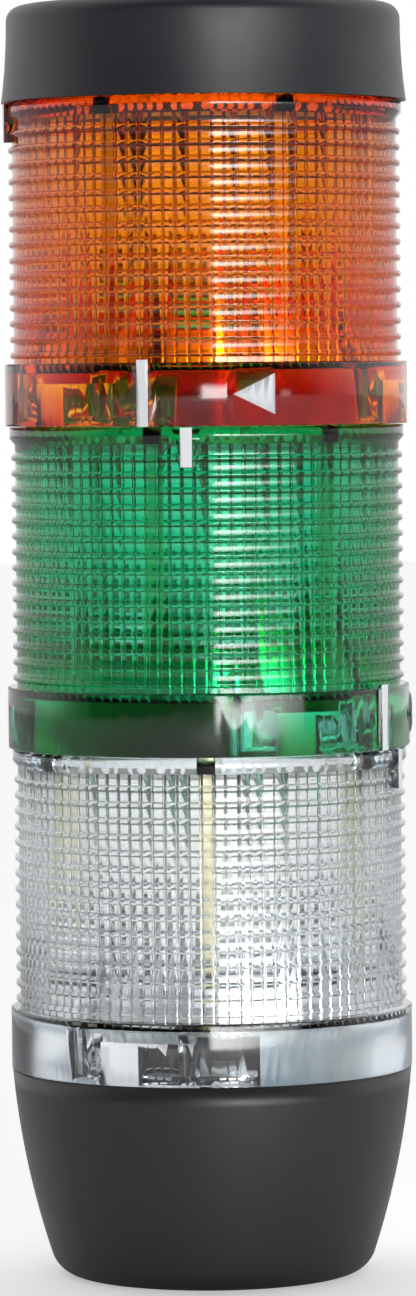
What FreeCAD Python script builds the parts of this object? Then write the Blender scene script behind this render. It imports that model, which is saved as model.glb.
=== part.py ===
"""Three-tier stack light for machine safety: pole-mount base, clear, green and amber light modules, end cap.

Every tier is the same module. Its moulding is one piece: a skirt (the collar) that drops over the neck of
the piece below, a wall with ring beads outside and upright flutes inside, and a neck with three lugs. To fit
a module, its collar line is set over the mark of the piece below, and it is turned clockwise, as the arrow
shows, until the lugs meet the stops in the skirt. Six brass strips carry the circuits up each module.

Units are millimetres and degrees. +Z is up, the axis of the tower is Z, and the origin is the centre of the
base's underside. Angles are azimuths about +Z from +X, so the front of the tower is at -90.
"""
import FreeCAD
import Part
import math
import os

from FreeCAD import Vector

# ---------------------------------------------------------------- driving dimensions
FRONT = -90.0                    # azimuth of the front of the tower
AXIS = Vector(0, 0, 1)

# Module moulding, heights measured from the collar's lower edge
module_pitch = 56.0              # from one collar's lower edge to the next
tier_gap = 0.2                   # daylight under each collar and under the cap
collar_r = 35.0
collar_height = 10.8
collar_edge = 0.4                # rounding of the collar's two outer edges
collar_wall = 2.1
skirt_r = collar_r - collar_wall
shoulder_z = 9.0                 # underside of the shoulder that closes the skirt
shoulder_width = 3.5
shoulder_r = skirt_r - shoulder_width    # opening through the shoulder
wall_setback = 1.55              # from the collar's face to the lens wall between the beads
wall_r = collar_r - wall_setback
bead_height = 0.65
bead_width = 1.25
bead_count = 15
bead_pitch = 2.733
first_bead_z = 12.3
flute_count = 96
wall_thickness = 1.9             # at the flat of a flute
flute_flat_r = wall_r - wall_thickness
flute_ridge = 0.22               # height of the sharp ridge between two flutes
flute_fillet_r = 0.45            # between a flute's flat and the ridges beside it
band_setback = 0.7               # from the collar's face to the plain band at the top of the wall
band_r = collar_r - band_setback
band_height = 2.0
band_taper = 1.0
ledge_width = 3.95               # ledge inside the band that carries the contact ring
ledge_r = flute_flat_r - ledge_width
ledge_height = 2.5

# Twist-lock
neck_play = 1.7                  # between a neck and the skirt round it
neck_r = skirt_r - neck_play
neck_wall = 1.8
neck_in_r = neck_r - neck_wall
neck_height = 7.7                # above the band
lock_turn = 12.0                 # turn from the entry position to the stop
lug_width = 10.5                 # degrees
lug_height = 4.4
lug_lift = 0.2                   # play between a lug and the ledge it rides on
track_wall = 0.9                 # plastic left outside the pocket that a lug runs in
track_r = collar_r - track_wall
lug_play = 0.4                   # between a lug's face and its pocket
lug_r = track_r - lug_play
track_height = 7.3
track_ledge_z = 0.45             # underside of the ledge that holds a lug
track_ledge_height = 1.45
track_ledge_play = 0.8           # between a neck and the ledges round it
track_ledge_r = neck_r + track_ledge_play
track_ledge_length = 32.0        # degrees
track_entry = 14.4               # degrees of open pocket before the ledge starts
track_end = 15.5                 # degrees of pocket after the ledge starts
locked_lug = 9.1                 # leading side of a locked lug, in degrees past the ledge's start
stop_play = 0.3                  # degrees between a locked lug and its stop
stop_width = 1.4                 # degrees
track_angles = (-24.6, -153.9, 93.0)    # start of each ledge, from the collar's line
guide_rib_angle = -25.5          # stiffening rib in the skirt, from each ledge's start
guide_rib_width = 1.6            # degrees
guide_foot_z = 0.9
guide_foot_height = 0.8

# Raised marks
mark_proud = 0.45
mark_width = 2.05
line_rise = 0.5                  # how far the collar's line stands above the collar
top_mark_length = 6.7
arrow_length = 7.3
arrow_height = 7.0
arrow_angle = 31.0               # arrow's middle, from the collar's line
mark_to_line = 64.3              # from a module's top mark to its collar line
tier_turn = mark_to_line + lock_turn    # from one tier's marks to the next, when locked
amber_mark = FRONT - 82.0        # azimuth of the amber module's top mark

# Seal
seal_play = 0.05                 # left between a seal and the shoulder above it

# Contacts
strip_count = 6
strip_angle = -11.7              # first strip, from the module's top mark
strip_setback = 2.6              # from a neck's outside to the inner face of an upright strip
strip_r = neck_r - strip_setback
strip_thickness = 0.4
strip_width = 2.6
strip_slot_play = 0.4            # between a strip's edges and its slot
pad_length = 4.1
pad_inner_r = strip_r - pad_length
pad_margin = 3.2                 # degrees of pad past the middle of the tongue that rests on it
pad_overrun = 3.0                # degrees that a pad runs past its own strip
contact_gap = 0.1                # between a tongue and the pad below it
tongue_reach = 2.4               # from the upright inwards to the line of contact
tongue_contact_r = strip_r - tongue_reach
tongue_tip = 1.4                 # from the line of contact to the tip
tongue_tip_r = tongue_contact_r - tongue_tip
tongue_lift = 0.6                # how far the tip curls up
strip_knee = 0.8                 # how far inwards the upright leans at its foot
strip_knee_z = 0.7               # height of that lean
strip_foot_z = 0.2               # from the carrier's underside down to where it starts
carrier_seat = 1.6               # width of the shoulder that the carrier lies on
carrier_r = shoulder_r + carrier_seat
carrier_height = 2.0
carrier_window_inner_r = 13.5
carrier_rim = 4.5
carrier_window_outer_r = carrier_r - carrier_rim
carrier_window_angle = 34.0      # degrees
ring_margin = 1.0                # of the ring inside the pads
ring_inner_r = pad_inner_r - ring_margin
ring_wall = 1.1
ring_flange = 1.6
ring_play = 0.1                  # between the contact ring and the strips behind it

# LED board
board_r = 12.5
board_thickness = 1.2
board_stand = 1.6                # pillar between the carrier and the board
pillar_r = 3.0
led_count = 12
led_at_r = 9.6
led_width = 2.8
led_length = 3.5
led_height = 0.9
led_screw_r = 1.0
led_screw_length = 4.6
led_screw_head_r = 1.9
led_screw_head = 1.0
lead_width = 2.0
lead_thickness = 0.4
lead_gap = 0.1                   # between a lead and the strip and board it serves
lead_slots = (0, 1)              # strips that feed the board, counted from the first

# Cap, heights measured from its lower edge
cap_height = 16.7
cap_flare = 0.17                 # how far the cap's lower edge stands out past a collar
cap_low_r = collar_r + cap_flare
cap_mid_setback = 0.55
cap_mid_r = collar_r - cap_mid_setback
cap_mid_z = 7.0
cap_high_setback = 0.8
cap_high_r = collar_r - cap_high_setback
cap_corner = 2.6
cap_top_wall = 2.0
cap_wall = 1.6                   # above the skirt
cap_press_wall = 1.6             # ring that presses on the seal
cap_press_r = neck_r - cap_press_wall

# Base
base_height = 36.0
base_setback = 0.15              # from a collar's face to the base's upper edge
base_top_r = collar_r - base_setback
base_mid_taper = 2.4
base_mid_r = base_top_r - base_mid_taper
base_mid_z = 19.5
base_low_taper = 7.85
base_low_r = base_top_r - base_low_taper    # where the side would meet the floor with no rounding
base_edge = 5.4
base_wall = 2.4
base_floor = 2.6
base_rim = 2.0                   # thickness of the shoulder under the clear collar
base_rim_fall = 2.0              # how much thicker that shoulder is at the wall
base_top_gain = 1.6              # how much thicker the wall is under the shoulder
base_low_gain = 2.0              # how much thicker the wall is at the floor
pole_r = 12.6                    # bore for a 25 mm pole
pole_depth = 22.0
pole_wall = 2.6
pole_stop = 2.0
pole_stop_width = 3.6
wire_hole_r = pole_r - pole_stop_width
boss_r = 3.4
boss_angles = (FRONT + 99.0, FRONT - 81.0)
block_height = 9.9
block_play = 0.9                 # between the block and the neck round it
block_r = neck_in_r - block_play
block_hole_r = 8.0
boss_setback = 5.5
boss_at_r = block_r - boss_setback
block_screw_r = 1.5
block_screw_head_r = 2.8
block_screw_head = 1.8
block_screw_length = 14.0
block_counterbore = 2.4
wire_entry_r = 1.3
wire_entry_setback = 3.3
wire_entry_at_r = block_r - wire_entry_setback
set_screw_r = 2.5
set_screw_length = 13.0
set_screw_z = 11.0
set_screw_angle = FRONT + 180.0
set_screw_boss_r = 5.0
set_screw_boss_setback = 1.5     # from the side at mid height to the boss's end
thread_play = 0.05               # between a screw's outside and its hole
weld = 0.1                       # how deep a rib reaches into the wall it is moulded on
root = 0.5                       # the same of a boss

# Terminals round the base's neck
terminal_angle = 20.0            # first terminal, from the front
terminal_width = 4.4
terminal_height = 6.2
terminal_low_z = 1.5             # above the base's rim
terminal_plate = 1.0
terminal_screw_r = 1.25
terminal_head_r = 1.75
terminal_head = 0.9
terminal_screw_length = 5.0
terminal_slot_width = 0.5
terminal_slot_depth = 0.4
window_play = 0.15

# ---------------------------------------------------------------- derived places
lug_z = module_pitch + track_ledge_z + track_ledge_height + lug_lift
band_top = module_pitch - tier_gap
band_low = band_top - band_height
ledge_z = band_top - ledge_height
neck_top = band_top + neck_height
seal_height = shoulder_z - (neck_top - module_pitch) - seal_play
tiers = ("clear", "green", "amber")
cap_z = base_height + tier_gap + module_pitch * len(tiers)
tier_z = {name: base_height + tier_gap + module_pitch * n for n, name in enumerate(tiers)}
tier_mark = {name: amber_mark + tier_turn * (len(tiers) - 1 - n) for n, name in enumerate(tiers)}
base_mark = amber_mark + tier_turn * len(tiers)
cap_line = amber_mark - lock_turn
base_shift = base_height - band_top       # puts a module's neck on the base


# ---------------------------------------------------------------- shapes
def at(radius, angle, z=0.0):
    """Point at a radius and an azimuth."""
    return Vector(radius * math.cos(math.radians(angle)), radius * math.sin(math.radians(angle)), z)


def line(a, b):
    """Edge from (r, z) to (r, z) in the half plane that is revolved."""
    return Part.LineSegment(Vector(a[0], 0, a[1]), Vector(b[0], 0, b[1])).toShape()


def arc(a, middle, b):
    """Arc through three (r, z) points in the half plane that is revolved."""
    return Part.Arc(Vector(a[0], 0, a[1]), Vector(middle[0], 0, middle[1]), Vector(b[0], 0, b[1])).toShape()


def outline(points):
    """Straight edges that join the (r, z) points in turn."""
    return [line(a, b) for a, b in zip(points, points[1:])]


def revolved(edges, turn=360.0):
    """Solid made by turning a closed outline about the tower's axis."""
    face = Part.Face(Part.Wire(edges))
    return face.revolve(Vector(0, 0, 0), AXIS, turn)


def ring(r_in, r_out, z_low, z_high):
    """Plain ring or, with r_in at 0, a disc."""
    outer = Part.makeCylinder(r_out, z_high - z_low, Vector(0, 0, z_low))
    if r_in <= 0:
        return outer
    return outer.cut(Part.makeCylinder(r_in, z_high - z_low, Vector(0, 0, z_low)))


def sector(r_in, r_out, z_low, z_high, start, end):
    """Part of a ring between two azimuths."""
    corners = [(r_in, z_low), (r_out, z_low), (r_out, z_high), (r_in, z_high), (r_in, z_low)]
    solid = revolved(outline(corners), end - start)
    solid.rotate(Vector(0, 0, 0), AXIS, start)
    return solid


def moved(shape, angle=0.0, z=0.0):
    """Copy of a shape turned about the tower's axis and lifted."""
    copy = shape.copy()
    copy.rotate(Vector(0, 0, 0), AXIS, angle)
    copy.translate(Vector(0, 0, z))
    return copy


def block_at(radius, angle, z, depth, width, height):
    """Box whose inner face is at a radius, centred on an azimuth, with its foot at z."""
    box = Part.makeBox(depth, width, height, Vector(radius, -width / 2, z))
    return moved(box, angle)


def pin_at(radius, angle, z, r, length):
    """Round bar that points away from the axis, from a radius outwards."""
    return Part.makeCylinder(r, length, at(radius, angle, z), at(1, angle))


def fused(first, others):
    """One solid from a shape and the pieces moulded on it."""
    return first.fuse(others).removeSplitter()


# ---------------------------------------------------------------- twist-lock, male and female
def lugs(mark):
    """Three lugs round a neck, heights as on a module; mark is the azimuth of that piece's top mark."""
    line_above = mark - lock_turn
    found = []
    for start in track_angles:
        end = line_above + start + locked_lug
        found.append(sector(neck_r - neck_wall / 2, lug_r, lug_z, lug_z + lug_height, end - lug_width, end))
    return found


def track_cuts(line_angle):
    """Pockets in a skirt that let the lugs in from below and round to their stops."""
    starts = [line_angle + offset for offset in track_angles]
    return [
        sector(skirt_r - 0.5, track_r, -1.0, track_height, start - track_entry, start + track_end)
        for start in starts
    ]


def track_ribs(line_angle):
    """Ledge, stop and guide rib of each track, to be moulded into a skirt."""
    ledge_top = track_ledge_z + track_ledge_height
    ribs = []
    for offset in track_angles:
        start = line_angle + offset
        ledge_end = start + track_end
        tail = start + track_ledge_length
        ribs.append(sector(track_ledge_r, track_r + weld, track_ledge_z, ledge_top, start, ledge_end))
        ribs.append(sector(track_ledge_r, skirt_r + weld, track_ledge_z, ledge_top, ledge_end - 1, tail))
        nose_r = track_ledge_height / 2
        ribs.append(pin_at(track_ledge_r, start, track_ledge_z + nose_r, nose_r, track_r - track_ledge_r))
        stop = start + locked_lug + stop_play
        stop_end = stop + stop_width
        stop_top = track_height + weld
        ribs.append(sector(track_ledge_r, track_r + weld, ledge_top - weld, stop_top, stop, stop_end))
        guide = start + guide_rib_angle
        guide_end = guide + guide_rib_width
        foot_top = guide_foot_z + guide_foot_height
        ribs.append(sector(track_ledge_r, skirt_r + weld, guide_foot_z, shoulder_z + weld, guide, guide_end))
        ribs.append(sector(track_ledge_r, skirt_r + weld, guide_foot_z, foot_top, guide, start - track_entry))
    return ribs


# ---------------------------------------------------------------- module moulding
def bead_edges(z_low, z_high):
    """Outside of the lens wall: a half-round bead at every pitch, from the collar up to the band's taper."""
    edges = []
    here = (wall_r, z_low)
    for n in range(bead_count):
        middle = first_bead_z + bead_pitch * n
        foot = (wall_r, middle - bead_width / 2)
        head = (wall_r, middle + bead_width / 2)
        edges.append(line(here, foot))
        edges.append(arc(foot, (wall_r + bead_height, middle), head))
        here = head
    edges.append(line(here, (wall_r, z_high)))
    return edges


def flute_core():
    """What is cut from inside the wall: a many-sided prism, with a fillet from each flat up to each ridge."""
    step = 360.0 / flute_count
    slope = math.acos(1 - flute_ridge / flute_fillet_r)
    ridge = (flute_flat_r - flute_ridge) * math.tan(math.radians(step / 2))
    flat = ridge - flute_fillet_r * math.sin(slope)
    middle = flat + flute_fillet_r * math.sin(slope / 2)
    middle_r = flute_flat_r - flute_fillet_r * (1 - math.cos(slope / 2))
    edges = []
    for n in range(flute_count):
        side = [(-ridge, flute_flat_r - flute_ridge), (-middle, middle_r), (-flat, flute_flat_r),
                (flat, flute_flat_r), (middle, middle_r), (ridge, flute_flat_r - flute_ridge)]
        a, b, c, d, e, f = [
            at(math.hypot(across, out), n * step + math.degrees(math.atan2(across, out)))
            for across, out in side
        ]
        edges += [Part.Arc(a, b, c).toShape(), Part.LineSegment(c, d).toShape(), Part.Arc(d, e, f).toShape()]
    face = Part.Face(Part.Wire(edges))
    core = face.extrude(Vector(0, 0, ledge_z - collar_height))
    core.translate(Vector(0, 0, collar_height))
    return core


def arrow(line_angle):
    """Raised triangle on the collar that points the way the module is turned to lock it."""
    middle = line_angle + arrow_angle
    half = arrow_length / 2
    z = collar_height / 2
    corners = [
        Vector(collar_r - 2, -half, z),
        Vector(collar_r - 2, half, z + arrow_height / 2),
        Vector(collar_r - 2, half, z - arrow_height / 2),
        Vector(collar_r - 2, -half, z),
    ]
    prism = Part.Face(Part.makePolygon(corners)).extrude(Vector(4, 0, 0))
    shell = ring(collar_r - 0.2, collar_r + mark_proud, 0, collar_height)
    return moved(prism, middle).common(shell)


def mark_bar(r_from, r_to, angle, z_low, z_high):
    """Raised upright bar, its outer face true to the round of the moulding."""
    bar = block_at(r_from - 1, angle, z_low, r_to - r_from + 2, mark_width, z_high - z_low)
    return bar.common(ring(r_from, r_to, z_low, z_high))


def strip_slots(angle, r_out, z_low, z_high):
    """Upright slots that the six strips of a module pass through."""
    width = strip_width + strip_slot_play
    return [
        block_at(strip_r - strip_slot_play, angle + strip_angle + n * 360.0 / strip_count, z_low,
                 r_out - strip_r + strip_slot_play, width, z_high - z_low)
        for n in range(strip_count)
    ]


def lens():
    """Whole moulding of a module with its top mark at azimuth 0."""
    turned_edge = collar_edge * (1 - math.sqrt(0.5))
    outside = [
        line((skirt_r, 0), (collar_r - collar_edge, 0)),
        arc((collar_r - collar_edge, 0), (collar_r - turned_edge, turned_edge), (collar_r, collar_edge)),
        line((collar_r, collar_edge), (collar_r, collar_height - collar_edge)),
        arc((collar_r, collar_height - collar_edge), (collar_r - turned_edge, collar_height - turned_edge),
            (collar_r - collar_edge, collar_height)),
        line((collar_r - collar_edge, collar_height), (wall_r, collar_height)),
    ]
    outside += bead_edges(collar_height, band_low - band_taper)
    inside = [
        (wall_r, band_low - band_taper),
        (band_r, band_low),
        (band_r, band_top),
        (neck_r, band_top),
        (neck_r, neck_top),
        (neck_in_r, neck_top),
        (neck_in_r, band_top),
        (ledge_r, band_top),
        (ledge_r, ledge_z),
        (shoulder_r, ledge_z),
        (shoulder_r, shoulder_z),
        (skirt_r, shoulder_z),
        (skirt_r, 0),
    ]
    body = revolved(outside + outline(inside)).cut(flute_core())
    line_angle = mark_to_line
    body = body.cut(track_cuts(line_angle) + strip_slots(0, neck_in_r, ledge_z - 1, band_top + 1))
    added = track_ribs(line_angle) + lugs(0)
    added.append(arrow(line_angle))
    added.append(mark_bar(collar_r - 0.2, collar_r + mark_proud, line_angle, 0, collar_height + line_rise))
    added.append(mark_bar(wall_r - 0.4, collar_r, 0, band_top - top_mark_length, band_top))
    return fused(body, added)


def seal():
    """Flat rubber ring that lies on a neck, heights as on a module."""
    return moved(ring(neck_in_r, neck_r, 0, seal_height), 0, neck_top)


# ---------------------------------------------------------------- contacts
def ribbon(points, thickness):
    """Closed outline of a bent strip of even thickness along (r, z) points, mitred at its bends."""
    normals = []
    for a, b in zip(points, points[1:]):
        length = math.hypot(b[0] - a[0], b[1] - a[1])
        normals.append(((a[1] - b[1]) / length, (b[0] - a[0]) / length))
    sides = ([], [])
    for n, p in enumerate(points):
        before = normals[max(n - 1, 0)]
        after = normals[min(n, len(normals) - 1)]
        share = 1 + before[0] * after[0] + before[1] * after[1]
        mitre = ((before[0] + after[0]) / share, (before[1] + after[1]) / share)
        for side, sign in zip(sides, (1, -1)):
            side.append((p[0] + sign * mitre[0] * thickness / 2, p[1] + sign * mitre[1] * thickness / 2))
    loop = sides[0] + sides[1][::-1]
    return outline(loop + loop[:1])


def pad_reach(angle, mark_above):
    """Degrees that a pad runs clockwise from its strip to pass under the next tongue of the module above."""
    return (angle - mark_above - strip_angle) % (360.0 / strip_count) + pad_margin


def pad(z, reach):
    """Contact pad at the head of a strip at azimuth 0, lying on the ring or block at height z."""
    return sector(pad_inner_r, strip_r + strip_thickness / 2, z, z + strip_thickness, -reach, pad_overrun)


def bus_strip():
    """One brass strip at azimuth 0: sprung tongue, upright and pad."""
    middle = strip_r + strip_thickness / 2
    contact_z = neck_top - module_pitch + strip_thickness + contact_gap + strip_thickness / 2
    points = [
        (tongue_tip_r, contact_z + tongue_lift),
        (tongue_contact_r, contact_z),
        (middle - strip_knee, collar_height - strip_foot_z - strip_knee_z),
        (middle, collar_height - strip_foot_z),
        (middle, neck_top + strip_thickness / 2),
        (pad_inner_r, neck_top + strip_thickness / 2),
    ]
    upright = Part.Face(Part.Wire(ribbon(points, strip_thickness))).extrude(Vector(0, strip_width, 0))
    upright.translate(Vector(0, -strip_width / 2, 0))
    return fused(upright, [pad(neck_top, pad_reach(tier_turn + strip_angle, 0))])


def contact_carrier():
    """Spoked disc on the shoulder that holds the strips' feet, with a pillar for the LED board."""
    top = collar_height + carrier_height
    disc = ring(0, carrier_r, collar_height, top)
    cuts = strip_slots(0, strip_r + strip_thickness + strip_slot_play, collar_height - 1, top + 1)
    for n in range(strip_count):
        middle = strip_angle + (n + 0.5) * 360.0 / strip_count
        cuts.append(
            sector(carrier_window_inner_r, carrier_window_outer_r, collar_height - 1, top + 1,
                   middle - carrier_window_angle / 2, middle + carrier_window_angle / 2)
        )
    plate = fused(disc.cut(cuts), [Part.makeCylinder(pillar_r, board_stand, Vector(0, 0, top))])
    hole_z = board_z() + board_thickness + led_screw_head - led_screw_length
    return plate.cut(Part.makeCylinder(led_screw_r + thread_play, led_screw_length, Vector(0, 0, hole_z)))


def contact_ring():
    """Ring inside the neck with a flange on which the pads lie."""
    r_out = strip_r - ring_play
    wall = ring(r_out - ring_wall, r_out, band_top, neck_top)
    flange = ring(ring_inner_r, r_out, neck_top - ring_flange, neck_top)
    return fused(wall, [flange])


# ---------------------------------------------------------------- LED board
def board_z():
    """Height of the board's underside."""
    return collar_height + carrier_height + board_stand


def led_board():
    """Round circuit board on the carrier's pillar."""
    board = ring(0, board_r, board_z(), board_z() + board_thickness)
    return board.cut(Part.makeCylinder(led_screw_r + thread_play, board_thickness, Vector(0, 0, board_z())))


def leds():
    """Ring of LED packages soldered on the board, as separate solids."""
    z = board_z() + board_thickness
    return Part.makeCompound([
        block_at(led_at_r - led_length / 2, n * 360.0 / led_count, z, led_length, led_width, led_height)
        for n in range(led_count)
    ])


def board_screw():
    """Cross-recess screw that holds the board to the carrier's pillar."""
    seat = board_z() + board_thickness
    shank = Part.makeCylinder(led_screw_r, led_screw_length - led_screw_head,
                              Vector(0, 0, seat - led_screw_length + led_screw_head))
    head = Part.makeCylinder(led_screw_head_r, led_screw_head, Vector(0, 0, seat))
    arm = led_screw_head_r * 1.2
    z = seat + led_screw_head - terminal_slot_depth
    cross = [
        Part.makeBox(arm, terminal_slot_width, 1, Vector(-arm / 2, -terminal_slot_width / 2, z)),
        Part.makeBox(terminal_slot_width, arm, 1, Vector(-terminal_slot_width / 2, -arm / 2, z)),
    ]
    return fused(shank, [head]).cut(cross)


def board_leads():
    """Flat brass leads on the carrier, from two strips to the board, as separate solids."""
    return Part.makeCompound([
        block_at(board_r + lead_gap, strip_angle + n * 360.0 / strip_count, collar_height + carrier_height,
                 strip_r - board_r - 2 * lead_gap, lead_width, lead_thickness)
        for n in lead_slots
    ])


# ---------------------------------------------------------------- cap
def cap():
    """End cap: flared outside, open skirt with the same tracks, and a ring that presses on the seal."""
    corner_z = cap_height - cap_corner
    rounded = cap_corner * (1 - math.sqrt(0.5))
    inner_top = cap_height - cap_top_wall
    edges = [
        line((skirt_r, 0), (cap_low_r, 0)),
        arc((cap_low_r, 0), (cap_mid_r, cap_mid_z), (cap_high_r, corner_z)),
        arc((cap_high_r, corner_z), (cap_high_r - rounded, cap_height - rounded),
            (cap_high_r - cap_corner, cap_height)),
    ]
    edges += outline([
        (cap_high_r - cap_corner, cap_height),
        (0, cap_height),
        (0, inner_top),
        (cap_press_r, inner_top),
        (cap_press_r, shoulder_z),
        (cap_press_r + cap_press_wall, shoulder_z),
        (cap_press_r + cap_press_wall, inner_top),
        (cap_high_r - cap_wall, inner_top),
        (skirt_r, shoulder_z),
        (skirt_r, 0),
    ])
    shell = revolved(edges).cut(track_cuts(cap_line))
    return fused(shell, track_ribs(cap_line))


# ---------------------------------------------------------------- base
def base_body():
    """Tapered housing: pole socket below, neck with lugs above, and bosses for the terminal block."""
    neck_z = base_height + neck_height
    side = arc((base_low_r, 0), (base_mid_r, base_mid_z), (base_top_r, base_height))
    solid = revolved(
        [line((0, 0), (base_low_r, 0)), side]
        + outline([(base_top_r, base_height), (neck_r, base_height), (neck_r, neck_z), (0, neck_z), (0, 0)])
    )
    foot_edges = [e for e in solid.Edges if abs(e.BoundBox.ZMax) < 1e-6 and e.BoundBox.XLength > base_low_r]
    solid = solid.makeFillet(base_edge, foot_edges)
    chamber = revolved(
        [
            line((0, base_floor), (base_low_r - base_wall - base_low_gain, base_floor)),
            arc((base_low_r - base_wall - base_low_gain, base_floor), (base_mid_r - base_wall, base_mid_z),
                (base_top_r - base_wall - base_top_gain, base_height - base_rim - base_rim_fall)),
        ]
        + outline([
            (base_top_r - base_wall - base_top_gain, base_height - base_rim - base_rim_fall),
            (neck_in_r, base_height - base_rim),
            (neck_in_r, neck_z + 1),
            (0, neck_z + 1),
            (0, base_floor),
        ])
    )
    socket = ring(0, pole_r + pole_wall, base_floor - root, pole_depth + pole_stop)
    bosses = [
        Part.makeCylinder(boss_r, block_foot() - base_floor + root, at(boss_at_r, angle, base_floor - root))
        for angle in boss_angles
    ]
    boss_length = base_mid_r - pole_r - set_screw_boss_setback
    screw_boss = pin_at(pole_r + root, set_screw_angle, set_screw_z, set_screw_boss_r, boss_length)
    body = solid.cut(chamber)
    body = fused(body, [socket, *bosses, screw_boss.common(solid)] + base_lugs())
    cuts = [
        Part.makeCylinder(pole_r, pole_depth, Vector(0, 0, 0)),
        Part.makeCylinder(wire_hole_r, pole_depth + pole_stop + 2, Vector(0, 0, 0)),
        pin_at(pole_r - 1, set_screw_angle, set_screw_z, set_screw_r + thread_play, base_mid_r),
    ]
    hole_r = block_screw_r + thread_play
    cuts += [Part.makeCylinder(hole_r, block_screw_length, at(boss_at_r, angle, screw_tip_z()))
             for angle in boss_angles]
    cuts += [terminal_window(angle) for angle in terminal_angles()]
    return body.cut(cuts)


def base_lugs():
    """The lugs of a module's neck, on the base."""
    return [moved(lug, 0, base_shift) for lug in lugs(base_mark)]


def terminal_angles():
    """Azimuths of the terminals, one a circuit."""
    return [FRONT + terminal_angle + n * 360.0 / strip_count for n in range(strip_count)]


def terminal_window(angle):
    """Notch in the base's neck in front of a terminal, open at the top."""
    width = terminal_width + 2 * window_play
    return block_at(neck_in_r - 1, angle, base_height + terminal_low_z, neck_wall + 2, width, neck_height)


def block_foot():
    """Height of the terminal block's underside."""
    return base_height + neck_height - block_height


def screw_tip_z():
    """Height of the lower end of the screws that hold the terminal block."""
    return block_foot() + block_height - block_counterbore - block_screw_length + block_screw_head


def base_terminal_block():
    """Moulded disc in the base's neck that carries terminals and pads."""
    top = base_height + neck_height
    disc = ring(block_hole_r, block_r, block_foot(), top)
    cuts = []
    for angle in boss_angles:
        foot = at(boss_at_r, angle, block_foot())
        seat = at(boss_at_r, angle, top - block_counterbore)
        cuts.append(Part.makeCylinder(block_screw_r + thread_play * 2, block_height, foot))
        cuts.append(Part.makeCylinder(block_screw_head_r + 0.2, block_counterbore, seat))
    hole_r = terminal_screw_r + thread_play
    hole_at_r = block_r - terminal_screw_length
    for angle in terminal_angles():
        entry = at(wire_entry_at_r, angle, block_foot())
        cuts.append(Part.makeCylinder(wire_entry_r, block_height / 2, entry))
        cuts.append(pin_at(hole_at_r, angle, terminal_screw_z(), hole_r, terminal_screw_length + 1))
    return disc.cut(cuts)


def terminal_screw_z():
    """Height of the terminal screws' axes."""
    return base_height + terminal_low_z + terminal_height - terminal_width / 2


def base_block_screws():
    """Two screws that hold the terminal block down, as separate solids."""
    screws = []
    for angle in boss_angles:
        tip = at(boss_at_r, angle, screw_tip_z())
        shank = Part.makeCylinder(block_screw_r, block_screw_length - block_screw_head, tip)
        head_z = screw_tip_z() + block_screw_length - block_screw_head
        head = Part.makeCylinder(block_screw_head_r, block_screw_head, at(boss_at_r, angle, head_z))
        recess = Part.makeCylinder(1.0, 1.0, at(boss_at_r, angle, head_z + block_screw_head - 1.0))
        screws.append(fused(shank, [head]).cut(recess))
    return Part.makeCompound(screws)


def base_contact():
    """Angled contact at azimuth 0: a pad on the block and a leg behind the terminal's plate."""
    top = base_height + neck_height
    foot = base_height + terminal_low_z + window_play
    leg = block_at(block_r, 0, foot, strip_thickness, terminal_width, top + strip_thickness - foot)
    hole = pin_at(block_r - 1, 0, terminal_screw_z(), terminal_screw_r + thread_play, 3)
    reach = pad_reach(terminal_angles()[0], tier_mark[tiers[0]])
    return fused(leg.cut(hole), [pad(top, reach)])


def base_terminal_plates():
    """Clamp plates in the neck's windows, round-headed, as separate solids."""
    plates = []
    for angle in terminal_angles():
        low = base_height + terminal_low_z + window_play
        radius = terminal_width / 2
        r_in = block_r + strip_thickness
        straight = block_at(r_in, angle, low, terminal_plate, terminal_width, terminal_screw_z() - low)
        head = pin_at(r_in, angle, terminal_screw_z(), radius, terminal_plate)
        hole = pin_at(r_in - 1, angle, terminal_screw_z(), terminal_screw_r + thread_play, terminal_plate + 2)
        plates.append(fused(straight, [head]).cut(hole))
    return Part.makeCompound(plates)


def base_terminal_screws():
    """Cross-recess terminal screws, as separate solids."""
    screws = []
    for angle in terminal_angles():
        z = terminal_screw_z()
        head_r = block_r + strip_thickness + terminal_plate
        tip_r = block_r - terminal_screw_length + 0.5
        shank = pin_at(tip_r, angle, z, terminal_screw_r, head_r - tip_r)
        head = pin_at(head_r, angle, z, terminal_head_r, terminal_head)
        face_r = head_r + terminal_head - terminal_slot_depth
        arm = terminal_head_r * 1.2
        cross = [
            block_at(face_r, angle, z - terminal_slot_width / 2, 1, arm, terminal_slot_width),
            block_at(face_r, angle, z - arm / 2, 1, terminal_slot_width, arm),
        ]
        screws.append(fused(shank, [head]).cut(cross))
    return Part.makeCompound(screws)


def pole_set_screw():
    """Socket set screw in the back of the base that clamps the pole."""
    screw = pin_at(pole_r, set_screw_angle, set_screw_z, set_screw_r, set_screw_length)
    socket = pin_at(pole_r + set_screw_length - 2.5, set_screw_angle, set_screw_z, 1.25, 3)
    return screw.cut(socket)


# ---------------------------------------------------------------- export
def write(name, shape):
    """Writes one node's STEP file."""
    shape.exportStep(f"parts/{name}.step")


def write_module(tier):
    """Writes the nodes of one light module."""
    mark = tier_mark[tier]
    z = tier_z[tier]
    pieces = {
        "lens": lens(),
        "seal": seal(),
        "contact_carrier": contact_carrier(),
        "contact_ring": contact_ring(),
        "led_board": led_board(),
        "leds": leds(),
        "board_screw": board_screw(),
        "board_leads": board_leads(),
    }
    for name, shape in pieces.items():
        write(f"{tier}_{name}", moved(shape, mark, z))
    for n in range(strip_count):
        angle = mark + strip_angle + n * 360.0 / strip_count
        write(f"{tier}_bus_strip_{n + 1}", moved(bus_strip(), angle, z))


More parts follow.
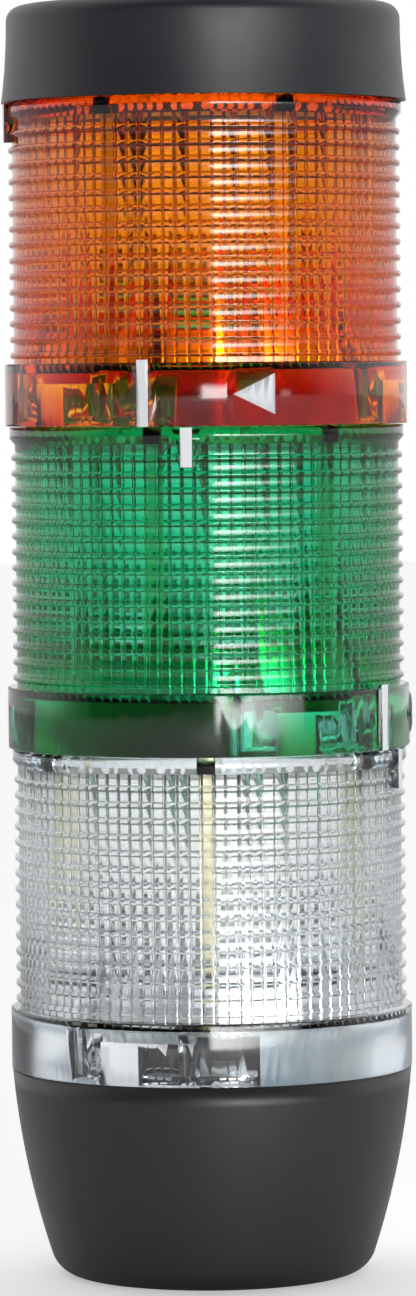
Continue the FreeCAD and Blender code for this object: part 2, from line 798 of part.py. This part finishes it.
def write_base():
    """Writes the nodes of the base."""
    write("base_body", base_body())
    write("base_terminal_block", base_terminal_block())
    write("base_block_screws", base_block_screws())
    write("base_terminal_plates", base_terminal_plates())
    write("base_terminal_screws", base_terminal_screws())
    write("base_seal", moved(seal(), 0, base_shift))
    write("pole_set_screw", pole_set_screw())
    for n, angle in enumerate(terminal_angles()):
        write(f"base_contact_{n + 1}", moved(base_contact(), angle))


def main():
    os.makedirs("parts", exist_ok=True)
    write_base()
    for tier in tiers:
        write_module(tier)
    write("cap", moved(cap(), 0, cap_z))


main()
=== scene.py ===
"""Dresses the three-tier stack light: transparent ribbed modules on a black base, under a black cap."""

import logging
import math
from collections.abc import Callable
from dataclasses import dataclass, field
from enum import Enum

import bmesh
import bpy
from mathutils import Euler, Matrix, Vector

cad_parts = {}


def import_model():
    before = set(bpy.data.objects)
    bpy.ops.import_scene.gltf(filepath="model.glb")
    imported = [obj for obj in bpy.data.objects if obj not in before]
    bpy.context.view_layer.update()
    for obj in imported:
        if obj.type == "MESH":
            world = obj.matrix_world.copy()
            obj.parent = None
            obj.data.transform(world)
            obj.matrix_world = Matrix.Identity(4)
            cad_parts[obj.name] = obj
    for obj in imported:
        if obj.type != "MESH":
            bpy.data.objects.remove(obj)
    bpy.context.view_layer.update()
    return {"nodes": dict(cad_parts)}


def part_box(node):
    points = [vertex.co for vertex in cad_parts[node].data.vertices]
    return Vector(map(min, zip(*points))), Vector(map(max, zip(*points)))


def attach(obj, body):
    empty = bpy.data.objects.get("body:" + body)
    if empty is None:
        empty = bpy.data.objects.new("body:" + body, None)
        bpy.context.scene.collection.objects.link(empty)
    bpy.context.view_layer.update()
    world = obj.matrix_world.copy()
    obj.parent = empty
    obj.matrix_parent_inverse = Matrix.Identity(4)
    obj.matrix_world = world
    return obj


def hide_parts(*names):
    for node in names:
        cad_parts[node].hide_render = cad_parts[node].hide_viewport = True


MM = 0.001

log = logging.getLogger("stack_light")


# ---------------------------------------------------------------- colour and nodes
def linear(hex_colour: str) -> tuple[float, float, float, float]:
    """Turns an sRGB hex colour into linear RGBA.

    Args:
        hex_colour: six hex digits, such as "ff8814".

    Returns:
        The colour as Blender's sockets take it, with an alpha of 1.
    """
    channels = [int(hex_colour[i:i + 2], 16) / 255 for i in (0, 2, 4)]
    flat = [c / 12.92 if c <= 0.04045 else ((c + 0.055) / 1.055) ** 2.4 for c in channels]
    return flat[0], flat[1], flat[2], 1.0


def add_node(tree: bpy.types.NodeTree, kind: str, settings: dict | None = None,
             links: dict | None = None) -> bpy.types.Node:
    """Adds one node with its settings and its incoming links.

    Args:
        tree: the node tree.
        kind: the node's type name.
        settings: names of sockets or properties, and their values.
        links: names or numbers of input sockets, and the output sockets that feed them.

    Returns:
        The new node.
    """
    node = tree.nodes.new(kind)
    for name, value in (settings or {}).items():
        if isinstance(name, int) or name in node.inputs:
            node.inputs[name].default_value = value
        else:
            setattr(node, name, value)
    for name, source in (links or {}).items():
        tree.links.new(source, node.inputs[name])
    return node


def new_material(name: str) -> tuple[bpy.types.Material, bpy.types.NodeTree]:
    """Makes an empty node material.

    Args:
        name: the material's name.

    Returns:
        The material and its node tree, which holds only the output node.
    """
    material = bpy.data.materials.new(name)
    material.use_nodes = True
    material.node_tree.nodes.clear()
    return material, material.node_tree


def finish_material(tree: bpy.types.NodeTree, shader: bpy.types.Node,
                    volume: bpy.types.Node | None = None) -> None:
    """Links the shader, and the volume where there is one, to a new output node."""
    output = add_node(tree, "ShaderNodeOutputMaterial")
    tree.links.new(shader.outputs[0], output.inputs["Surface"])
    if volume is not None:
        tree.links.new(volume.outputs[0], output.inputs["Volume"])


def object_noise(tree: bpy.types.NodeTree, grain_mm: float, detail: float = 2.0) -> bpy.types.Node:
    """Adds a noise texture on Object coordinates.

    Args:
        tree: the node tree.
        grain_mm: the size of one grain of the pattern.
        detail: how many finer layers the noise has.

    Returns:
        The noise node.
    """
    coordinates = add_node(tree, "ShaderNodeTexCoord")
    return add_node(tree, "ShaderNodeTexNoise", {"Scale": 1 / (grain_mm * MM), "Detail": detail},
                    {"Vector": coordinates.outputs["Object"]})


# ---------------------------------------------------------------- finishes
@dataclass(frozen=True)
class TintedPolycarbonate:
    """Polished injection-moulded polycarbonate, clear right through: crisp glints and bent light.

    Attributes:
        name: the material's name.
        wall_tint: sRGB share of the colour that every wall gives, however thick.
        depth_tint: sRGB colour that white light takes on over depth_mm of the plastic.
        least_share: the darkest that a channel of depth_tint counts as.
    """
    name: str
    wall_tint: str
    depth_tint: str
    depth_mm: float = 4.4
    ior: float = 1.586
    roughness: float = 0.1
    least_share: float = 0.004

    def material(self) -> bpy.types.Material:
        """Makes the material: a glassy surface, with the rest of the tint in the plastic itself."""
        material, tree = new_material(self.name)
        shader = add_node(tree, "ShaderNodeBsdfPrincipled", {
            "Base Color": linear(self.wall_tint),
            "Roughness": self.roughness,
            "IOR": self.ior,
            "Transmission Weight": 1.0,
        })
        shares = [max(channel, self.least_share) for channel in linear(self.depth_tint)[:3]]
        strengths = [-math.log(share) / (self.depth_mm * MM) for share in shares]
        density = max(strengths)
        tint = tuple(1 - s / density for s in strengths) + (1.0,)
        volume = add_node(tree, "ShaderNodeVolumeAbsorption", {"Color": tint, "Density": density})
        finish_material(tree, shader, volume)
        return material


@dataclass(frozen=True)
class GrainedPolycarbonate:
    """Black polycarbonate from a spark-eroded mould: dull and even, with a grain that breaks up glints."""
    name: str
    colour: str
    roughness: float
    grain_mm: float = 0.35           # drawn a little coarser than the mould's grain, so that it shows
    grain_detail: float = 3.0
    depth_mm: float = 0.012
    cloud_mm: float = 9.0            # patches that are a little duller or shinier
    cloud_change: float = 0.05
    ior: float = 1.586

    def material(self) -> bpy.types.Material:
        """Makes the material."""
        material, tree = new_material(self.name)
        grain = object_noise(tree, self.grain_mm, self.grain_detail)
        bump = add_node(tree, "ShaderNodeBump", {"Strength": 1.0, "Distance": self.depth_mm * MM},
                        {"Height": grain.outputs["Fac"]})
        cloud = object_noise(tree, self.cloud_mm)
        shade = add_node(tree, "ShaderNodeMapRange", {
            "To Min": self.roughness - self.cloud_change,
            "To Max": self.roughness + self.cloud_change,
        }, {"Value": cloud.outputs["Fac"]})
        shader = add_node(tree, "ShaderNodeBsdfPrincipled", {
            "Base Color": linear(self.colour),
            "IOR": self.ior,
        }, {"Normal": bump.outputs["Normal"], "Roughness": shade.outputs["Result"]})
        finish_material(tree, shader)
        return material


@dataclass(frozen=True)
class Metal:
    """Bare or plated metal, rolled or turned: a mirror dulled by fine scratches."""
    name: str
    colour: str
    roughness: float
    scratch_mm: float = 0.4
    scratch_change: float = 0.3      # share by which the scratches change the roughness

    def material(self) -> bpy.types.Material:
        """Makes the material."""
        material, tree = new_material(self.name)
        noise = object_noise(tree, self.scratch_mm)
        rough = add_node(tree, "ShaderNodeMapRange",
                         {"To Min": self.roughness * (1 - self.scratch_change),
                          "To Max": self.roughness * (1 + self.scratch_change)},
                         {"Value": noise.outputs["Fac"]})
        shader = add_node(tree, "ShaderNodeBsdfPrincipled",
                          {"Base Color": linear(self.colour), "Metallic": 1.0},
                          {"Roughness": rough.outputs["Result"]})
        finish_material(tree, shader)
        return material


@dataclass(frozen=True)
class Moulding:
    """Opaque moulded plastic, rubber, ink or board coating: an even colour, with a mottle in its gloss."""
    name: str
    colour: str
    roughness: float
    ior: float = 1.53
    mottle_mm: float = 2.0
    mottle_change: float = 0.04

    def material(self) -> bpy.types.Material:
        """Makes the material."""
        material, tree = new_material(self.name)
        noise = object_noise(tree, self.mottle_mm)
        rough = add_node(tree, "ShaderNodeMapRange",
                         {"To Min": self.roughness - self.mottle_change,
                          "To Max": self.roughness + self.mottle_change},
                         {"Value": noise.outputs["Fac"]})
        shader = add_node(tree, "ShaderNodeBsdfPrincipled",
                          {"Base Color": linear(self.colour), "IOR": self.ior},
                          {"Roughness": rough.outputs["Result"]})
        finish_material(tree, shader)
        return material


Finish = TintedPolycarbonate | GrainedPolycarbonate | Metal | Moulding


class Tier(Enum):
    """The three light modules, from the bottom up."""
    CLEAR = "clear"
    GREEN = "green"
    AMBER = "amber"


LENS_FINISH = {
    Tier.CLEAR: TintedPolycarbonate("water_clear_polycarbonate", "ffffff", "fafdff"),
    Tier.GREEN: TintedPolycarbonate("green_polycarbonate", "c2fbf2", "4cd2a0"),
    Tier.AMBER: TintedPolycarbonate("amber_polycarbonate", "ffe4a4", "ffb438"),
}


@dataclass
class Workshop:
    """Makes each finish once and hands it out by name."""
    made: dict[str, bpy.types.Material] = field(default_factory=dict)

    def get(self, finish: Finish) -> bpy.types.Material:
        """Returns the finish's material, and makes it on the first call."""
        if finish.name not in self.made:
            self.made[finish.name] = finish.material()
        return self.made[finish.name]


CAP_PLASTIC = GrainedPolycarbonate("black_grained_polycarbonate_cap", "202227", 0.42)
BASE_PLASTIC = GrainedPolycarbonate("black_grained_polycarbonate_base", "242225", 0.42)
WHITE_INK = Moulding("white_pad_printing_ink", "eef1f4", 0.45)
BRASS = Metal("tinned_brass_strip", "ece6c0", 0.35)
ZINC = Metal("bright_zinc_plate", "d9dadb", 0.25)
RUBBER = Moulding("black_nitrile_rubber", "1b1b1c", 0.6)
WHITE_NYLON = Moulding("white_polyamide", "e9e9e4", 0.5)
GREY_NYLON = Moulding("dark_grey_polyamide", "55565a", 0.5)
# black nylon that also paints shade: the amber module's carrier and contact ring take it so the inside
# seen through the amber collar reads dark
BLACK_NYLON_AS_PAINTED_SHADE = Moulding("black_polyamide_painted_shade", "17171a", 0.5)
BOARD_COATING = Moulding("white_solder_mask", "eceee9", 0.4)
LED_PACKAGE = Moulding("white_led_package", "f0efe8", 0.45)
# white carriers are the parts' own colour; the amber module's black carrier and ring are painted shade
# behind its collar
CARRIER_FINISH_WITH_PAINTED_SHADE = {Tier.CLEAR: WHITE_NYLON, Tier.GREEN: WHITE_NYLON, Tier.AMBER: BLACK_NYLON_AS_PAINTED_SHADE}


# ---------------------------------------------------------------- meshes
def smooth_copy(node: bpy.types.Object, name: str, crease_deg: float,
                reshape: Callable[[bmesh.types.BMesh], None] | None = None) -> bpy.types.Object:
    """Makes a merged, smooth-shaded copy of a node's mesh.

    Args:
        node: the node to copy.
        name: the new piece's name.
        crease_deg: edges that bend more than this stay sharp.
        reshape: what else is done to the merged mesh.

    Returns:
        The new piece, at the origin as the node is.
    """
    mesh = node.data.copy()
    mesh.name = name
    mesh.materials.clear()
    work = bmesh.new()
    work.from_mesh(mesh)
    bmesh.ops.remove_doubles(work, verts=work.verts, dist=0.001 * MM)
    if reshape is not None:
        reshape(work)
    work.to_mesh(mesh)
    work.free()
    mesh.shade_smooth()
    mesh.set_sharp_from_angle(angle=math.radians(crease_deg))
    piece = bpy.data.objects.new(name, mesh)
    bpy.context.scene.collection.objects.link(piece)
    return piece


def dress(node: bpy.types.Object, material: bpy.types.Material) -> None:
    """Gives every slot of a node the material."""
    if not node.data.materials:
        node.data.materials.append(material)
    for index in range(len(node.data.materials)):
        node.data.materials[index] = material


# ---------------------------------------------------------------- sub-assemblies
@dataclass
class LightModule:
    """One twist-lock light module.

    Attributes:
        tier: which module it is.
        nodes: the frame's nodes.
        workshop: where finishes come from.
        hollow: how far the wall sinks between two beads.
        top_share: above this share of the moulding's height lies only its top mark.
    """
    tier: Tier
    nodes: dict[str, bpy.types.Object]
    workshop: Workshop
    collar_r: float = 35.0 * MM
    mark_depth: float = 0.2 * MM
    wall_r: float = 33.45 * MM       # lens wall between the beads
    first_bead: float = 12.3 * MM    # above the collar's lower edge
    bead_pitch: float = 2.733 * MM
    bead_width: float = 1.25 * MM
    bead_count: int = 15
    wall_slack: float = 0.02 * MM    # how far off the wall a face's corners may lie
    hollow: float = 0.07 * MM
    hollow_cuts: int = 5
    cut_slack: float = 0.0001 * MM
    crease_deg: float = 28.0
    top_share: float = 0.6
    facing_out: float = 0.9          # share of a normal that points away from the axis, on a mark's face

    @property
    def body(self) -> str:
        """Name of the body that the module's pieces ride on."""
        return f"{self.tier.value}_module"

    @property
    def foot(self) -> float:
        """Height of the collar's lower edge."""
        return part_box(f"{self.tier.value}_lens")[0].z

    def build(self) -> None:
        """Dresses the whole module."""
        self.make_lens()
        self.dress_inside()

    def hollow_wall(self, work: bmesh.types.BMesh) -> None:
        """Draws the wall between each two beads in to a shallow hollow.

        Args:
            work: the merged moulding.
        """
        gap = self.bead_pitch - self.bead_width
        for n in range(self.bead_count - 1):
            low = self.foot + self.first_bead + n * self.bead_pitch + self.bead_width / 2
            faces = [face for face in work.faces if self.on_wall(face, low, low + gap)]
            parts = set(faces)
            for face in faces:
                parts.update(face.edges)
                parts.update(face.verts)
            for cut in range(1, self.hollow_cuts + 1):
                share = cut / (self.hollow_cuts + 1)
                result = bmesh.ops.bisect_plane(work, geom=list(parts), dist=self.cut_slack,
                                                plane_co=(0, 0, low + gap * share), plane_no=(0, 0, 1))
                parts = set(result["geom"])
                radius = self.wall_r - self.hollow * 4 * share * (1 - share)
                for vert in (item for item in result["geom_cut"] if isinstance(item, bmesh.types.BMVert)):
                    scale = radius / math.hypot(vert.co.x, vert.co.y)
                    vert.co.x *= scale
                    vert.co.y *= scale

    def on_wall(self, face: bmesh.types.BMFace, low: float, high: float) -> bool:
        """Whether a face lies on the outside of the wall between two heights."""
        return all(
            low - self.wall_slack < vert.co.z < high + self.wall_slack
            and abs(math.hypot(vert.co.x, vert.co.y) - self.wall_r) < self.wall_slack
            for vert in face.verts
        )

    def make_lens(self) -> None:
        """Makes the transparent moulding, with ink on the faces of its raised marks."""
        node = self.nodes[f"{self.tier.value}_lens"]
        lens = smooth_copy(node, f"{self.tier.value}_ribbed_lens", self.crease_deg, self.hollow_wall)
        lens.data.materials.append(self.workshop.get(LENS_FINISH[self.tier]))
        lens.data.materials.append(self.workshop.get(WHITE_INK))
        low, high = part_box(node.name)
        upper = low.z + (high.z - low.z) * self.top_share
        for face in lens.data.polygons:
            centre = face.center
            radius = math.hypot(centre.x, centre.y)
            outward = (face.normal.x * centre.x + face.normal.y * centre.y) / max(radius, MM)
            on_collar = radius > self.collar_r + self.mark_depth
            on_top_mark = centre.z > upper and radius > self.collar_r - self.mark_depth
            if outward > self.facing_out and (on_collar or on_top_mark):
                face.material_index = 1
        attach(lens, self.body)
        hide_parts(node.name)
        log.info("%s: ribbed lens, %d faces", self.tier.value, len(lens.data.polygons))

    def dress_inside(self) -> None:
        """Gives the module's inner pieces their finishes."""
        finishes = {
            "seal": RUBBER,
            # in the amber module the carrier and ring are black, painted shade for the dark inside behind
            # its collar
            "contact_carrier": CARRIER_FINISH_WITH_PAINTED_SHADE[self.tier],
            "contact_ring": CARRIER_FINISH_WITH_PAINTED_SHADE[self.tier],
            "led_board": BOARD_COATING,
            "leds": LED_PACKAGE,
            "board_screw": ZINC,
            "board_leads": BRASS,
        }
        for piece, finish in finishes.items():
            dress(self.nodes[f"{self.tier.value}_{piece}"], self.workshop.get(finish))
        strips = [name for name in self.nodes if name.startswith(f"{self.tier.value}_bus_strip")]
        for name in strips:
            dress(self.nodes[name], self.workshop.get(BRASS))
        log.info("%s: %d inner pieces dressed", self.tier.value, len(finishes) + len(strips))


@dataclass
class BlackShell:
    """The base's housing or the cap.

    Attributes:
        node_name: the node that it stands for.
        piece_name: its own name.
        body: the body it rides on.
        finish: its plastic.
    """
    node_name: str
    piece_name: str
    body: str
    finish: GrainedPolycarbonate
    nodes: dict[str, bpy.types.Object]
    workshop: Workshop
    crease_deg: float = 25.0

    def build(self) -> None:
        """Makes the smooth shell."""
        shell = smooth_copy(self.nodes[self.node_name], self.piece_name, self.crease_deg)
        shell.data.materials.append(self.workshop.get(self.finish))
        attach(shell, self.body)
        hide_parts(self.node_name)
        log.info("%s: %d faces", self.piece_name, len(shell.data.polygons))


@dataclass
class BaseFittings:
    """The terminals, contacts, screws and seal of the base."""
    nodes: dict[str, bpy.types.Object]
    workshop: Workshop

    def build(self) -> None:
        """Gives each fitting its finish."""
        finishes = {
            "base_terminal_block": GREY_NYLON,
            "base_block_screws": ZINC,
            "base_terminal_plates": ZINC,
            "base_terminal_screws": ZINC,
            "base_seal": RUBBER,
            "pole_set_screw": ZINC,
        }
        for name, finish in finishes.items():
            dress(self.nodes[name], self.workshop.get(finish))
        for name in self.nodes:
            if name.startswith("base_contact"):
                dress(self.nodes[name], self.workshop.get(BRASS))
        log.info("base: fittings dressed")


# ---------------------------------------------------------------- studio
@dataclass
class Studio:
    """Camera, lamps, world and floor.

    Attributes:
        room_front: share of a direction that points backwards, below which the room is darkest.
        room_side: the same, above which the room is white.
        room_dark: strength of the dim front of the room in mirrored and scattered light.
        through_dark: strength of the same as it shows through the modules.
        key_fall: what is left of the softbox's strength at its far edge.
        key_taper: how much lower its glow is at the far edge, as a share of its height.
        key_soft_from: share of its height above and below the middle that stays fully bright.
    """
    distance: float = 1058 * MM
    aside: float = 0.37 * MM
    height: float = 157 * MM
    lens_mm: float = 168.6
    sensor_mm: float = 36.0
    tilt_deg: float = 2.585
    roll_deg: float = 0.53
    bounces: int = 24
    glossy_bounces: int = 6
    room_front: float = -0.4
    room_side: float = 0.2
    room_dark: float = 0.04
    through_dark: float = 0.45
    floor_size: float = 4.0
    floor_albedo: float = 0.86
    floor_roughness: float = 0.9
    floor_glow: float = 0.4
    key_azimuth_deg: float = 29.5
    key_distance: float = 1.5
    key_width: float = 1.43
    key_height: float = 1.0
    key_radiance: float = 13.0
    key_fall: float = 0.3
    key_taper: float = 0.3
    key_soft_from: float = 0.2
    key_soft_to: float = 0.5

    def build(self) -> None:
        """Sets up everything that isn't the object."""
        self.set_camera()
        self.set_world()
        self.set_floor()
        self.add_softbox()
        view = bpy.context.scene.view_settings
        view.view_transform = "Standard"
        cycles = bpy.context.scene.cycles
        cycles.max_bounces = self.bounces
        cycles.transmission_bounces = self.bounces
        cycles.glossy_bounces = self.glossy_bounces

    def set_camera(self) -> None:
        """Stands the camera in front of the tower, a little above its middle, looking slightly down."""
        data = bpy.data.cameras.new("camera")
        data.sensor_fit = "VERTICAL"
        data.sensor_height = self.sensor_mm
        data.lens = self.lens_mm
        camera = bpy.data.objects.new("camera", data)
        camera.location = (self.aside, -self.distance, self.height)
        turns = (math.radians(90 - self.tilt_deg), math.radians(self.roll_deg), 0)
        camera.rotation_euler = Euler(turns, "XYZ")
        bpy.context.scene.collection.objects.link(camera)
        bpy.context.scene.camera = camera

    def set_world(self) -> None:
        """White behind and beside the tower, and a dim room in front of it."""
        world = bpy.data.worlds.new("white_studio")
        world.use_nodes = True
        tree = world.node_tree
        tree.nodes.clear()
        path = add_node(tree, "ShaderNodeLightPath")
        direction = add_node(tree, "ShaderNodeTexCoord")
        parts = add_node(tree, "ShaderNodeSeparateXYZ", {}, {0: direction.outputs["Generated"]})
        room, through = (
            add_node(tree, "ShaderNodeMapRange", {
                "From Min": self.room_front, "From Max": self.room_side, "To Min": dark,
            }, {"Value": parts.outputs["Y"]})
            for dark in (self.room_dark, self.through_dark)
        )
        shown = add_node(tree, "ShaderNodeMix", {"data_type": "FLOAT"},
                         {0: path.outputs["Is Transmission Ray"], 2: room.outputs["Result"],
                          3: through.outputs["Result"]})
        seen = add_node(tree, "ShaderNodeMath", {"operation": "MAXIMUM"},
                        {0: path.outputs["Is Camera Ray"], 1: shown.outputs[0]})
        background = add_node(tree, "ShaderNodeBackground", {"Color": (1, 1, 1, 1)},
                              {"Strength": seen.outputs["Value"]})
        output = add_node(tree, "ShaderNodeOutputWorld")
        tree.links.new(background.outputs[0], output.inputs["Surface"])
        bpy.context.scene.world = world

    def set_floor(self) -> None:
        """A pale floor that reads white to the eye and keeps the tower's shadow."""
        work = bmesh.new()
        bmesh.ops.create_grid(work, x_segments=1, y_segments=1, size=self.floor_size)
        mesh = bpy.data.meshes.new("floor")
        work.to_mesh(mesh)
        work.free()
        floor = bpy.data.objects.new("floor", mesh)
        bpy.context.scene.collection.objects.link(floor)
        material, tree = new_material("white_paper")
        path = add_node(tree, "ShaderNodeLightPath")
        either = add_node(tree, "ShaderNodeMath", {"operation": "MAXIMUM"},
                          {0: path.outputs["Is Camera Ray"], 1: path.outputs["Is Transmission Ray"]})
        seen = add_node(tree, "ShaderNodeMath", {"operation": "MULTIPLY", 1: self.floor_glow},
                        {0: either.outputs["Value"]})
        shader = add_node(tree, "ShaderNodeBsdfPrincipled", {
            "Base Color": (self.floor_albedo,) * 3 + (1.0,),
            "Roughness": self.floor_roughness,
            "Emission Color": (1, 1, 1, 1),
        }, {"Emission Strength": seen.outputs["Value"]})
        finish_material(tree, shader)
        mesh.materials.append(material)

    def add_softbox(self) -> None:
        """A wide softbox right of the camera, brightest along the edge that is nearer to the camera."""
        data = bpy.data.lights.new("softbox", "AREA")
        data.shape = "RECTANGLE"
        data.size = self.key_width
        data.size_y = self.key_height
        data.energy = math.pi * self.key_width * self.key_height
        data.use_nodes = True
        tree = data.node_tree
        tree.nodes.clear()
        place = add_node(tree, "ShaderNodeNewGeometry")
        across = add_node(tree, "ShaderNodeSeparateXYZ", {}, {0: place.outputs["Parametric"]})
        fall = add_node(tree, "ShaderNodeMapRange", {
            "interpolation_type": "SMOOTHSTEP",
            "To Min": self.key_radiance, "To Max": self.key_radiance * self.key_fall,
        }, {"Value": across.outputs["X"]})
        middle_share = 0.5
        off_middle = add_node(tree, "ShaderNodeMath", {"operation": "SUBTRACT", 1: middle_share},
                              {0: across.outputs["Y"]})
        height = add_node(tree, "ShaderNodeMath", {"operation": "ABSOLUTE"},
                          {0: off_middle.outputs["Value"]})
        widened = add_node(tree, "ShaderNodeMath", {"operation": "MULTIPLY_ADD", 1: self.key_taper},
                           {0: across.outputs["X"], 2: height.outputs["Value"]})
        middle = add_node(tree, "ShaderNodeMapRange", {
            "interpolation_type": "SMOOTHSTEP",
            "From Min": self.key_soft_from, "From Max": self.key_soft_to, "To Min": 1.0, "To Max": 0.0,
        }, {"Value": widened.outputs["Value"]})
        both = add_node(tree, "ShaderNodeMath", {"operation": "MULTIPLY"},
                        {0: fall.outputs["Result"], 1: middle.outputs["Result"]})
        glow = add_node(tree, "ShaderNodeEmission", {}, {"Strength": both.outputs["Value"]})
        output = add_node(tree, "ShaderNodeOutputLight")
        tree.links.new(glow.outputs[0], output.inputs["Surface"])
        lamp = bpy.data.objects.new("softbox", data)
        turn = math.radians(self.key_azimuth_deg)
        across_room = self.key_distance * math.sin(turn)
        before_tower = self.key_distance * math.cos(turn)
        lamp.location = (across_room, -before_tower, self.height)
        aim = Vector((0, 0, self.height)) - lamp.location
        lamp.rotation_euler = aim.to_track_quat("-Z", "Y").to_euler()
        bpy.context.scene.collection.objects.link(lamp)


def main() -> None:
    """Loads the frame, dresses every sub-assembly and sets up the studio."""
    logging.basicConfig(level=logging.INFO, format="%(name)s: %(message)s")
    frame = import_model()
    nodes = frame["nodes"]
    workshop = Workshop()
    BlackShell("base_body", "base_housing", "base", BASE_PLASTIC, nodes, workshop).build()
    BaseFittings(nodes, workshop).build()
    for tier in Tier:
        LightModule(tier, nodes, workshop).build()
    BlackShell("cap", "end_cap", "top_cap", CAP_PLASTIC, nodes, workshop).build()
    Studio().build()


if __name__ == "__main__":
    main()
